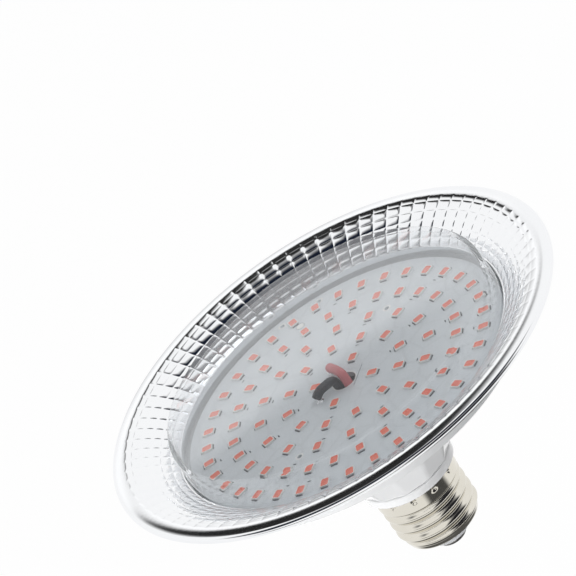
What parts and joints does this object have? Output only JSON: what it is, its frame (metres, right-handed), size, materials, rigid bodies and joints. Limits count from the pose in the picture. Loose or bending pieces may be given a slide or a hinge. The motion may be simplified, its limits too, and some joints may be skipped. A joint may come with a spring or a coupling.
{
  "type": "grow light bulb",
  "caption": "Reflector grow light bulb: faceted silver shade and clear cover over a round board of light chips, on a white flared neck with an Edison screw cap.",
  "frame": {"origin": "tip of the cap's centre contact, on the bulb's axis, where the screw cap meets its lampholder", "axes": "+Z along the bulb's axis towards the side that gives light; +X through one light chip of every ring"},
  "size_m": [0.1424, 0.1424, 0.0749],
  "materials": {
    "nickel_shell": "nickel plate, bright, slightly warm",
    "insulator_glass": "pale grey, smooth",
    "contact_metal": "tinned, slightly worn",
    "housing_white": "moulded white plastic, soft satin",
    "board_mask": "pale blue-grey solder mask on an aluminium board",
    "chip_white": "white moulded package",
    "chip_phosphor": "salmon silicone with phosphor",
    "tinned_metal": "tinned",
    "cover_clear": "clear polished plastic",
    "shade_silver": "vacuum-metallised plastic, mirror-bright",
    "driver_laminate": "green circuit board",
    "capacitor_sleeve": "dark heat-shrunk sleeve",
    "ferrite": "dark grey ferrite",
    "copper_wire": "enamelled copper",
    "film_case": "yellow moulded case",
    "chip_epoxy": "black moulded epoxy",
    "resistor_coat": "blue-grey lacquer",
    "red_silicone": "dull red sleeve, satin",
    "black_silicone": "black sleeve, satin",
    "lead_sleeve": "white sleeve",
    "solder": "bright solder"
  },
  "bodies": {
    "root": {"screw_shell": "nickel_shell", "cap_insulator": "insulator_glass", "centre_contact": "contact_metal", "neck_housing": "housing_white", "light_board": "board_mask", "chip_frames": "chip_white", "chip_phosphors": "chip_phosphor", "chip_terminals": "tinned_metal", "clear_cover": "cover_clear", "reflector_shade": "shade_silver", "driver_board": "driver_laminate", "input_capacitor": "capacitor_sleeve", "output_capacitor": "capacitor_sleeve", "inductor_core": "ferrite", "inductor_winding": "copper_wire", "film_capacitor": "film_case", "bridge_rectifier": "chip_epoxy", "fuse_resistor": "resistor_coat", "driver_chip": "chip_epoxy", "rectifier_diode": "chip_epoxy", "chip_resistors": "chip_epoxy", "component_legs": "tinned_metal", "red_lead": "red_silicone", "black_lead": "black_silicone", "live_lead": "lead_sleeve", "neutral_lead": "lead_sleeve", "solder_joints": "solder"}
  },
  "joints": []
}
